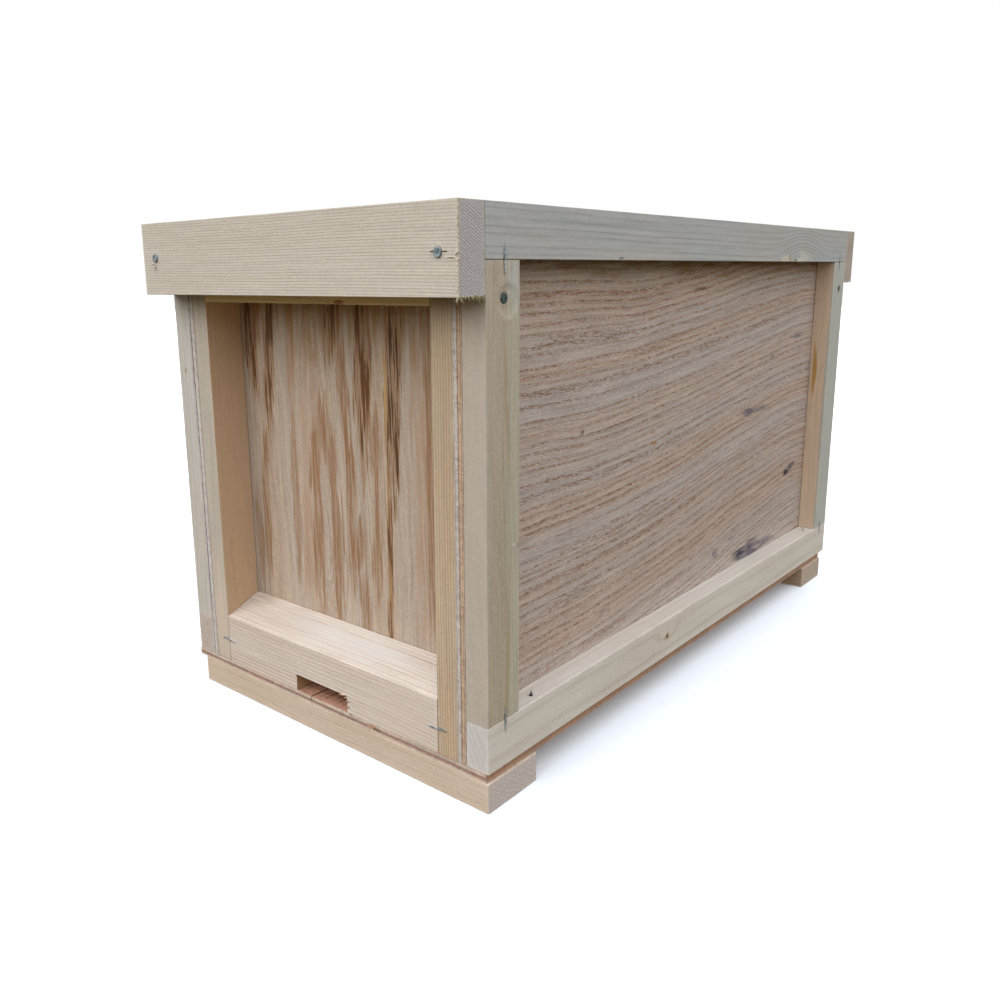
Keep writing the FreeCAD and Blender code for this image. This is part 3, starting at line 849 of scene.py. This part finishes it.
# The lug rail's yellow is partly its own tone and partly painted warm shade, which stays on the strip seen
# under the batten; the stain brings its upper part back to the warm tone of the other wood.
lug_rail_wood = wood(
    "lug_rail_wood", "X", (-250.0, 140.0), 2.2, base(226, 200, 148), base(170, 128, 76),
    contrast=0.30,
    knots=[on_front(30.0, 280.4, 6.0, 1.5, base(150, 92, 44))],
    stains_and_shade=[((0.0, -249.0, 320.0), (400.0, 100.0, 36.0), WARM, 1.0)], mark_gaps=1.0,
)
runner_wood = wood(
    "runner_wood", "X", (-330.0, -120.0), 2.3, base(199, 179, 159), base(160, 129, 100),
    tilt=(0.0, -0.012), contrast=0.36, blotch=base(190, 168, 142),
    end_contrast=0.05, end_tones=(base(195, 181, 172), base(162, 146, 136)), end_specks=0.34,
)
rear_runner_wood = wood(
    "rear_runner_wood", "X", (120.0, -140.0), 3.2, base(190, 166, 142), base(134, 100, 72),
    tilt=(0.0, 0.01), contrast=0.55, fibre=0.16, end_contrast=0.5,
    end_tones=(base(184, 166, 150), base(130, 100, 80)),
)

# ink, glue and resin marks on the right panel, painted shade in a band along its top under the top rail,
# and where its pores crowd
side_ply_stains_and_shade = [
    ((SIDE_PLY, y, z), (3.0, length, height), base(*tone), share, (tilt, 0.0, 0.0))
    for y, z, length, height, tone, share, tilt in (
        (100.0, 180.5, 13.0, 5.0, (82, 84, 94), 0.80, 0.0),
        (122.0, 181.0, 30.0, 4.0, (98, 96, 104), 0.6, 0.0),
        (192.0, 114.2, 9.0, 5.4, (30, 30, 46), 1.0, 0.0),
        (202.0, 117.0, 14.0, 4.4, (56, 58, 74), 0.85, 0.12),
        (97.0, 58.5, 16.0, 9.0, (40, 38, 58), 1.0, 0.0),
        (120.0, 58.0, 22.0, 9.0, (66, 62, 82), 0.9, 0.0),
        (146.0, 56.0, 32.0, 6.0, (84, 78, 92), 0.7, 0.0),
        (48.9, 71.0, 8.0, 3.0, (98, 90, 112), 0.7, 0.1),
        (80.0, 77.0, 14.0, 2.0, (100, 90, 96), 0.5, 0.0),
        (-120.9, 73.6, 12.0, 2.2, (108, 102, 106), 0.5, 0.0),
        (198.0, 238.2, 16.0, 3.0, (78, 80, 88), 0.75, 0.0),
        (145.0, 223.0, 7.0, 2.0, (92, 84, 72), 0.6, 0.0),
        (5.0, 283.0, 18.0, 2.4, (88, 56, 36), 0.85, 0.0),
        (-59.8, 178.6, 5.0, 1.6, (158, 108, 48), 0.85, 0.0),
        (-62.0, 186.0, 6.0, 1.2, (158, 108, 48), 0.7, 0.0),
        (-56.0, 197.0, 9.0, 1.8, (150, 108, 56), 0.7, 0.0),
        (-60.0, 207.0, 5.0, 1.4, (150, 108, 56), 0.6, 0.0),
        (200.0, 165.0, 14.0, 2.0, (150, 110, 60), 0.6, 0.0),
        (-172.0, 68.0, 12.0, 2.2, (172, 120, 78), 0.5, 0.2),
        (-150.1, 199.0, 2.6, 2.0, (90, 64, 44), 0.8, 0.0),
        # painted shade: the top of the panel darkened under the overhang of the top rail
        (0.0, 306.0, 300.0, 15.0, (130, 94, 30), 0.85, 0.0),
    )
]
side_ply_dense = [
    ((SIDE_PLY, y, z), (3.0, length, height), share, (tilt, 0.0, 0.0))
    for y, z, length, height, share, tilt in (
        (-150.0, 256.0, 82.0, 9.0, 1.0, 0.04),
        (-20.0, 252.0, 170.0, 4.0, 0.8, 0.12),
        (-190.0, 238.0, 70.0, 4.0, 0.9, 0.02),
        (120.0, 268.0, 90.0, 5.0, 0.7, 0.08),
        (-100.0, 131.0, 150.0, 8.0, 0.8, 0.02),
        (110.0, 146.0, 140.0, 8.0, 0.7, 0.12),
        (-160.0, 95.0, 80.0, 7.0, 0.7, 0.04),
        (5.0, 158.5, 20.0, 4.0, 1.0, 0.0),
    )
]
PLY_ROSE = base(150, 120, 102)
PLY_PLUM = base(116, 98, 110)
SIDE_LAYERS = (
    (0.0, PLY_PALE), (0.10, PLY_LINE), (0.15, PLY_WHITE), (0.44, PLY_ROSE), (0.56, PLY_TAN),
    (0.78, PLY_ROSE), (0.86, PLY_TAN),
)
LEFT_LAYERS = (
    (0.0, PLY_WHITE), (0.22, PLY_PLUM), (0.36, base(192, 184, 174)), (0.80, base(150, 132, 118)),
    (0.88, PLY_WHITE),
)
right_ply = wood(
    "right_side_ply", "Y", (60.0, -140.0), 5.6, shaded(164, 152, 144),
    shaded(134, 100, 76), bend=4.0, sweep=(-110.0, 230.0, 36.0), wander=1.6, contrast=0.36,
    bands=(shaded(167, 143, 126), 0.75), fibre=0.28, pores=0.86, late_share=0.6, stray=0.14,
    dash_scales=(1.4, 1.2), pore_tone=shaded(118, 82, 54), stains_and_shade=side_ply_stains_and_shade, mark_gaps=0.60,
    dense=side_ply_dense, flecks=0.40, layers=(0, 116.0, 122.5, SIDE_LAYERS), relief=0.0003,
)
left_ply = wood(
    "left_side_ply", "Y", (-50.0, 330.0), 6.6, base(170, 155, 143), base(132, 98, 72),
    sweep=(-200.0, 160.0, -24.0), bend=6.0, wander=1.8, contrast=0.36, bands=(base(168, 142, 124), 0.75),
    fibre=0.24, pores=0.85, pore_tone=base(106, 70, 44), flecks=0.35, late_share=0.6,
    layers=(0, -122.5, -116.0, LEFT_LAYERS), layer_sway=0.10,
)


def streak(top, bottom, width, tone, share, face):
    """A long streak down an end panel, from (x, z) to (x, z), as a stain."""
    middle = ((top[0] + bottom[0]) / 2, face, (top[1] + bottom[1]) / 2)
    reach = math.hypot(top[0] - bottom[0], top[1] - bottom[1]) / 2
    lean = math.atan2(top[0] - bottom[0], top[1] - bottom[1])
    return (middle, (width * 0.65, 3.0, reach), tone, share, (0.0, lean, 0.0))


front_ply_streaks = [
    streak((-30, 320), (-34, 40), 34, base(172, 140, 116), 0.45, END_PLY),
    streak((70, 320), (66, 30), 22, base(168, 134, 108), 0.6, END_PLY),
    streak((-48, 310), (-53, 176), 12, RED_STREAK, 0.8, END_PLY),
    streak((-38, 160), (-44, 60), 12, RED_STREAK, 0.7, END_PLY),
    streak((38.3, 320), (37.6, 40), 1.9, YELLOW_STREAK, 0.95, END_PLY),
]
front_ply_strands = [
    streak((x_top, z_top), (x_low, z_low), width, tone, share, END_PLY)
    for x_top, z_top, x_low, z_low, width, tone, share in (
        (-97, 318, -88, 186, 15, DARK_STREAK, 0.95),
        (-82, 310, -84, 240, 11, OAK_BROWN, 0.61),
        (-67, 318, -80, 156, 13, DARK_STREAK, 0.95),
        (-80, 220, -88, 50, 12, OAK_BROWN, 0.68),
        (-96, 170, -92, 50, 10, OAK_BROWN, 0.46),
        (-50, 250, -53, 40, 10, OAK_BROWN, 0.53),
        (-20, 232, -34, 140, 15, OAK_BROWN, 0.72),
        (-30, 190, -29, 40, 15, OAK_BROWN, 0.61),
        (-21, 232, -8, 140, 14, OAK_BROWN, 0.72),
        (-10, 190, -12, 50, 14, OAK_BROWN, 0.68),
        (-7, 318, -11, 226, 17, DARK_STREAK, 1.0),
        (-4, 290, 5, 150, 12, OAK_BROWN, 0.72),
        (6, 246, 2, 60, 11, OAK_BROWN, 0.68),
        (20, 325, 17, 150, 18, DARK_STREAK, 1.0),
        (29, 232, 26, 158, 14, OAK_BROWN, 0.72),
        (30, 200, 24, 50, 9, OAK_BROWN, 0.68),
        (11, 150, 9, 98, 18, OAK_BROWN, 0.72),
        (14, 128, 15, 40, 12, OAK_BROWN, 0.61),
        (49, 325, 40, 120, 15, base(88, 60, 36), 1.0),
        (40, 190, 36, 30, 7, DARK_STREAK, 1.0),
        (75, 320, 74, 50, 12, OAK_BROWN, 0.65),
        (88, 310, 90, 40, 16, OAK_BROWN, 0.57),
    )
]
front_ply_dense = [
    ((x, END_PLY, z), (width, 3.0, reach), share) for x, z, width, reach, share in (
        (-92, 235, 7, 80, 1.0), (-74, 215, 8, 95, 1.0), (-50, 245, 6, 70, 0.8), (-30, 130, 16, 90, 0.8),
        (-8, 275, 8, 45, 1.0), (-12, 120, 14, 80, 0.9), (20, 240, 9, 95, 1.0), (28, 190, 6, 50, 0.9),
        (13, 110, 12, 60, 0.9), (46, 220, 9, 110, 1.0), (38, 120, 4, 90, 0.9), (78, 170, 10, 140, 0.8),
        (-92, 110, 9, 70, 0.9),
    )
]
END_LAYERS = ((0.0, PLY_PALE), (0.50, PLY_LINE), (0.66, PLY_TAN))
REAR_END_LAYERS = ((0.0, PLY_TAN), (0.34, PLY_LINE), (0.5, PLY_PALE))
front_ply = wood(
    "front_end_ply", "Z", (-24.0, -221.0), 9.0, base(178, 162, 146), base(150, 114, 80),
    tilt=(0.0, 0.12), bend=6.0, contrast=0.20, wander=2.2, fibre=0.22, pores=0.45, dense=front_ply_dense,
    dash_scales=(0.26, 1.1), ring_pores=0.15, stray=0.03, bands=(base(184, 156, 130), 0.4),
    pore_tone=base(110, 74, 44), layers=(1, -236.0, -229.5, END_LAYERS), flecks=0.30, fuzz=0.10,
    # the last stain is painted shade: the top of the panel darkened where the batten and lug rail overhang
    # it
    stains_and_shade=front_ply_streaks + [((0.0, END_PLY, 294.0), (140.0, 3.0, 56.0), base(148, 112, 66), 0.84)],
    mark_gaps=0.6, strands=front_ply_strands,
)
rear_ply = wood(
    "rear_end_ply", "Z", (30.0, 214.0), 9.0, base(186, 168, 146), base(134, 100, 70),
    tilt=(0.0, -0.10), bend=9.0, contrast=0.36, wander=2.2, bands=(base(176, 146, 120), 0.7), fibre=0.28,
    pores=0.7, pore_tone=DARK_STREAK, flecks=0.25, dash_scales=(0.3, 0.9), ring_pores=0.5, stray=0.03,
    layers=(1, 229.5, 236.0, REAR_END_LAYERS),
    stains_and_shade=[streak((60, 240), (56, 40), 18, RED_STREAK, 0.7, -END_PLY)],
    strands=[streak((-70, 310), (-60, 90), 16, DARK_STREAK, 0.95, -END_PLY),
             streak((22, 310), (30, 150), 18, DARK_STREAK, 0.95, -END_PLY),
             streak((-12, 230), (-4, 60), 14, OAK_BROWN, 0.9, -END_PLY),
             streak((-38, 300), (-34, 40), 12, OAK_BROWN, 0.8, -END_PLY),
             streak((80, 300), (84, 60), 14, OAK_BROWN, 0.8, -END_PLY)],
)
FLOOR_LAYERS = ((0.0, PLY_PALE), (0.26, PLY_RED), (0.64, PLY_PALE))
floor_ply = wood(
    "floor_ply", "X", (-100.0, -60.0), 6.0, base(184, 138, 114), base(128, 84, 62),
    tilt=(0.0, 0.03), bend=14.0, contrast=0.5, fibre=0.22, pores=0.6,
    layers=(2, 18.5, FLOOR_TOP, FLOOR_LAYERS), edge_tone=(0, PLY_BROWN),
    # the first stain is painted shade: the floor darkened inside the entrance notch
    stains_and_shade=[((0.0, -244.0, FLOOR_TOP), (50.0, 15.0, 3.0), base(140, 92, 66), 0.55)] + [
        ((x, -249.0, FLOOR_TOP), (width, 16.0, 3.0), base(98, 58, 42), share) for x, width, share in (
            (-22.0, 1.6, 0.7), (-16.5, 1.0, 0.5), (-7.0, 1.4, 0.5), (-2.5, 2.0, 0.7), (4.0, 1.2, 0.6),
            (14.0, 1.6, 0.7), (19.5, 1.2, 0.6),
        )
    ],
    mark_gaps=0.5, patches=[
        on_front(46.5, 21.6, 8.0, 1.4, base(178, 142, 108), 0.9),
        on_front(50.0, 20.8, 5.0, 0.9, base(92, 66, 54), 0.85),
    ],
)
torn_wood = wood(
    "torn_fibres", "Z", (60.0, -300.0), 1.1, base(204, 194, 164), base(126, 114, 78),
    contrast=0.9, fibre=0.2,
    blotch=base(150, 146, 96), blotch_share=0.9,
)
torn_pale = wood(
    "torn_pale_fibres", "X", (-300.0, -150.0), 1.4, base(214, 196, 162), base(168, 136, 98),
    contrast=0.8, fibre=0.2,
)

PLY_SIDE_FORM = {"axis": 0, "cuts": (0.44, 0.56), "sunk": (0.08, 0.30, 0.25)}
PLY_LEFT_FORM = {"axis": 0, "cuts": (0.22, 0.36), "sunk": (0.05, 0.20, 0.05)}
PLY_END_FORM = {"axis": 1, "cuts": (0.45, 0.7), "sunk": (0.1, 0.4, 0.2)}
FLOOR_FORM = {"axis": 2, "cuts": (0.26, 0.64), "sunk": (0.04, 0.10, 0.05)}
NOTCH = (np.array((-26.5, -300.0, 0.0)) * MM, np.array((23.5, -200.0, 35.5)) * MM)

NAIL_PIT = 2.9


def dents(face_y, *rows):
    """Dents in a face that looks forward: x, z, half width and height, depth, rim and darkening of each."""
    return [pit((x, face_y, z), "-Y", (width, 3.0, height), *deep) for x, z, width, height, *deep in rows]


def batten_nail_pits(face_y, face):
    places = ((125.5, 305.5), (-124.0, 307.5))
    return [pit((x, face_y, z), face, NAIL_PIT, 0.4, 0.10, 0.30) for x, z in places]


batten_marks = batten_nail_pits(BATTEN_FACE, "-Y") + dents(
    BATTEN_FACE,
    (122.2, 305.7, 2.2, 0.4, 0.8, 0.0, 0.9),
    (129.6, 305.6, 2.0, 0.4, 0.7, 0.0, 0.9),
    (133.6, 302.4, 3.0, 0.6, 0.4, 0.2, 0.2),
    (138.0, 303.4, 1.6, 1.6, 0.9, 0.2, 0.1),
    (-127.0, 303.0, 2.2, 0.8, 0.6, 0.2, 0.3),
    (-125.6, 300.6, 0.6, 2.4, 0.5, 0.1, 0.7),
    (-123.6, 301.4, 0.5, 1.6, 0.4, 0.1, 0.6),
)
rear_batten_marks = batten_nail_pits(-BATTEN_FACE, "+Y")


def corner_nail_pit(x, y, face):
    """The deep pit round a nail through a side stile; the rear ones sit lower."""
    return pit((x, y, 283.0 if y < 0.0 else 278.0), face, 3.2, 1.2, 0.15, 0.5)


front_stile_marks = [
    corner_nail_pit(RIGHT, -248.0, "+X"),
    pit((RIGHT, -245.2, 281.6), "+X", (3.0, 8.4, 8.6), 0.60, 0.12, 0.0, 8.0),
    pit((RIGHT, -236.8, 150.0), "+X", (3.0, 0.8, 2.0), 0.4, 0.0, 0.3),
]
rear_stile_marks = [corner_nail_pit(RIGHT, 251.5, "+X")]
left_stile_marks = [corner_nail_pit(-RIGHT, -248.0, "-X")]
left_rear_marks = [corner_nail_pit(-RIGHT, 251.5, "-X")]
bottom_rail_marks = [pit((132.0, -215.5, 52.0), "+Z", (1.5, 1.8, 3.0), 0.5, 0.25, 0.5)]
entrance_marks = dents(
    FRONT,
    (24.4, 31.0, 1.2, 1.4, 1.2, 0.0, 0.1),
    (24.6, 27.0, 1.5, 1.6, 1.3, 0.0, 0.2),
    (20.0, 36.2, 3.0, 1.0, 0.9, 0.0, 0.0),
    (-27.0, 33.0, 0.8, 1.2, 0.6, 0.0, 0.1),
)
floor_marks = dents(
    FRONT,
    (46.5, 21.6, 7.5, 1.6, 0.35, 0.0, 0.0, 4.0),
    (95.0, 22.0, 30.0, 1.6, 0.2, 0.0, 0.12, 4.0),
    (26.0, 23.8, 1.4, 0.9, 0.8, 0.0, 0.8),
)
floor_marks += [  # the two checks in the floor that show through the entrance
    pit((-12.0, -249.0, FLOOR_TOP), "+Z", (0.8, 17.0, 3.0), 1.2, 0.0, 1.0),
    pit((9.0, -250.0, FLOOR_TOP), "+Z", (0.4, 10.0, 3.0), 0.6, 0.0, 0.8),
]


def staple_dent(centre, face, half_crown, half_width=1.1):
    """The dent round a staple that runs up across a side joint, or along an end wall, darkened with painted
    shadow along the wire.
    """
    sizes = (3.0, half_width, half_crown) if face[1] == "X" else (half_crown, 3.0, half_width)
    return pit(centre, face, sizes, 0.25, 0.0, 0.65, 6.0)


LOW_SEAM, HIGH_SEAM = 52.0, 302.0
STAPLE_REACH = 6.9
front_low_staple = staple_dent((RIGHT, -248.0, LOW_SEAM), "+X", STAPLE_REACH)
front_high_staple = staple_dent((RIGHT, -248.0, HIGH_SEAM), "+X", STAPLE_REACH)
rear_low_staple = staple_dent((RIGHT, 248.0, LOW_SEAM), "+X", STAPLE_REACH)
rear_high_staple = staple_dent((RIGHT, 248.0, HIGH_SEAM), "+X", STAPLE_REACH)
front_stile_marks += [front_low_staple, front_high_staple]
rear_stile_marks += [rear_low_staple, rear_high_staple]
bottom_rail_marks += [front_low_staple, rear_low_staple]
top_rail_marks = [
    pit((RIGHT, 140.2, 303.0), "+X", (3.0, 2.4, 1.0), 0.8, 0.0, 0.8),
    pit((RIGHT, -135.9, 303.0), "+X", (3.0, 2.6, 0.8), 0.5, 0.0, 0.5),
    front_high_staple,
    rear_high_staple,
]
entrance_staples = [staple_dent((side * 101.0, FRONT, 40.0), "-Y", STAPLE_REACH, 0.9) for side in (-1, 1)]
entrance_marks += entrance_staples

END_SLOPE = {"front": (("-Y", 34.0), 45.5), "rear": (("+Y", 34.0), 45.5)}

board("front_batten_board", "front_batten", front_batten_wood, 11, 0.45,
      along="X", marks=batten_marks)
board("rear_batten_board", "rear_batten", rear_batten_wood, 12, 0.45,
      along="X", marks=rear_batten_marks)
board("right_top_rail_board", "right_side_top_rail", top_rail_wood, 13, 0.4,
      marks=top_rail_marks)
board("left_top_rail_board", "left_side_top_rail", left_top_rail_wood, 14, 0.4)
board("right_bottom_rail_board", "right_side_bottom_rail", bottom_rail_wood, 15, 0.4,
      marks=bottom_rail_marks)
board("left_bottom_rail_board", "left_side_bottom_rail", left_bottom_rail_wood, 16, 0.4)
board("right_front_stile_board", "right_side_front_stile", front_stile_wood, 17, 0.4,
      (3.0, 1.4), along="Z", marks=front_stile_marks)
board("right_rear_stile_board", "right_side_rear_stile", rear_stile_wood, 18, 0.4,
      along="Z", marks=rear_stile_marks)
board("left_front_stile_board", "left_side_front_stile", left_stile_wood, 19, 0.4,
      along="Z", marks=left_stile_marks)
board("left_rear_stile_board", "left_side_rear_stile", left_stile_wood, 20, 0.4,
      along="Z", marks=left_rear_marks)
board("front_right_end_stile_board", "front_end_right_stile", end_stile_wood, 21, 0.35,
      along="Z", marks=entrance_staples[1:])
board("front_left_end_stile_board", "front_end_left_stile", shaded_stile_wood, 22, 0.35,
      along="Z", marks=entrance_staples[:1])
board("rear_right_end_stile_board", "rear_end_right_stile", left_stile_wood, 23, 0.35,
      along="Z")
board("rear_left_end_stile_board", "rear_end_left_stile", end_stile_wood, 24, 0.35, along="Z")
board("front_lug_rail_board", "front_lug_rail", lug_rail_wood, 25, 0.35, along="X")
board("rear_lug_rail_board", "rear_lug_rail", rear_end_wood, 26, 0.35, along="X")
board("entrance_rail_board", "entrance_rail", entrance_wood, 27, 0.4, along="X",
      notch=NOTCH, slope=END_SLOPE["front"], marks=entrance_marks)
board("rear_bottom_rail_board", "rear_end_bottom_rail", rear_end_wood, 28, 0.4, along="X",
      slope=END_SLOPE["rear"])
board("front_runner_board", "front_runner", runner_wood, 29, 0.6, along="X")
board("rear_runner_board", "rear_runner", rear_runner_wood, 30, 0.6, along="X")
board("right_side_ply_board", "right_side_panel", right_ply, 31, 0.25, (6.0, 4.0),
      layers=PLY_SIDE_FORM, set_back=0.05)
board("left_side_ply_board", "left_side_panel", left_ply, 32, 0.25, (6.0, 4.0),
      layers=PLY_LEFT_FORM, set_back=0.05)
board("front_end_ply_board", "front_end_panel", front_ply, 33, 0.25, (5.0, 4.0), along="Z",
      notch=NOTCH, layers=PLY_END_FORM, set_back=0.05)
board("rear_end_ply_board", "rear_end_panel", rear_ply, 34, 0.25, (5.0, 4.0), along="Z",
      layers=PLY_END_FORM, set_back=0.05)
board("floor_ply_board", "floor_panel", floor_ply, 35, 0.4, (6.0, 5.0), along="X",
      layers=FLOOR_FORM, set_back=0.05, marks=floor_marks)


def fringe(rng, start, end, count, hang, width, drift):
    """Torn fibres left by the saw along an edge: strands that start between two points and hang from it."""
    strands = []
    for _ in range(count):
        root = np.array(start) + (np.array(end) - np.array(start)) * rng.uniform()
        reach = np.array(hang) * rng.uniform(0.35, 1.0) + rng.uniform(-1.0, 1.0, 3) * drift
        bow = rng.uniform(-0.6, 0.6, 3) * drift
        strands.append((root, root + reach * 0.5 + bow, root + reach, width * rng.uniform(0.5, 1.2)))
    return strands


rng = np.random.default_rng(5)
BATTEN_END = 138.2
front_low, front_high = (BATTEN_END, -283.2, 285.0), (BATTEN_END, -283.2, 329.0)
rear_low, rear_high = (BATTEN_END, -264.0, 285.0), (BATTEN_END, -264.0, 329.0)
batten_fringe = fringe(rng, front_low, rear_low, 60, (0.3, 0, -2.0), 0.9, 1.3)
for y_from, y_to in ((-283.4, -280.0), (-270.5, -264.5)):
    start, end = (BATTEN_END, y_from, 285.0), (BATTEN_END, y_to, 285.0)
    batten_fringe += fringe(rng, start, end, 20, (0.3, 0, -4.0), 0.9, 1.5)
slivers("front_batten_fringe", torn_wood, batten_fringe)
batten_chips = fringe(rng, front_low, front_high, 80, (0.4, -0.3, 1.4), 0.5, 1.1)
batten_chips += fringe(rng, rear_low, rear_high, 22, (0.4, 0.2, 1.2), 0.4, 0.8)
slivers("front_batten_chips", torn_pale, batten_chips)
other_fringe = []
for x, y_from, y_to in ((BATTEN_END, 264.0, 283.0), (-BATTEN_END, 264.0, 283.0)):
    out = math.copysign(0.3, x)
    other_fringe += fringe(rng, (x, y_from, 284.6), (x, y_to, 284.6), 20, (out, 0, -1.4), 0.6, 0.7)
start, end = (-BATTEN_END, -283.0, 286.0), (-BATTEN_END, -283.0, 329.0)
other_fringe += fringe(rng, start, end, 30, (-0.4, -0.2, 0), 0.4, 0.4)
slivers("other_batten_fringes", torn_wood, other_fringe)
lug_fringe = fringe(rng, (-100.0, -263.2, 279.4), (76.0, -263.2, 279.4), 70, (0.5, -0.2, -1.5), 0.8, 0.7)
slivers("front_lug_rail_fringe", torn_wood, lug_fringe)

entrance_splinters = [
    ((22.6, -262.2, 35.4), (19.0, -263.3, 34.9), (15.4, -263.0, 33.9), 2.2),
    ((24.8, -261.6, 34.6), (22.0, -262.6, 33.6), (19.6, -262.6, 32.4), 1.7),
    ((24.8, -262.9, 32.4), (23.2, -263.4, 31.8), (22.0, -263.3, 30.8), 1.2),
    ((24.8, -262.4, 29.6), (23.6, -263.2, 29.3), (22.6, -263.0, 28.4), 1.2),
    ((24.6, -262.0, 26.8), (23.7, -263.0, 26.3), (22.9, -262.8, 25.5), 1.0),
]
slivers("entrance_splinters", torn_pale, entrance_splinters)
burst = [
    ((132.0, -216.1, 51.5), (132.0, -215.5, 53.5), (132.3, -215.0, 55.3), 1.8),
    ((131.4, -214.6, 51.7), (131.7, -214.6, 52.3), (132.0, -214.2, 52.9), 1.1),
]
slivers("ledge_nail_burst", burst_metal, burst)
bright_leg = [((132.0, 223.5, 51.4), (132.0, 223.3, 53.4), (132.1, 223.2, 55.6), 3.4)]
slivers("rear_ledge_staple_leg", bright_tip, bright_leg)

for node_name, metal in (
    ("batten_nails", zinc),
    ("corner_nails", shaded_zinc),
    ("runner_nails", zinc),
    ("floor_nails", zinc),
    ("side_seam_staples", wire),
    ("end_seam_staples", wire),
    ("panel_staples", wire),
    ("ledge_brads", bright_tip),
):
    metal_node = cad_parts[node_name]
    metal_node.data.materials.clear()
    metal_node.data.materials.append(metal)

set_camera()
set_studio()
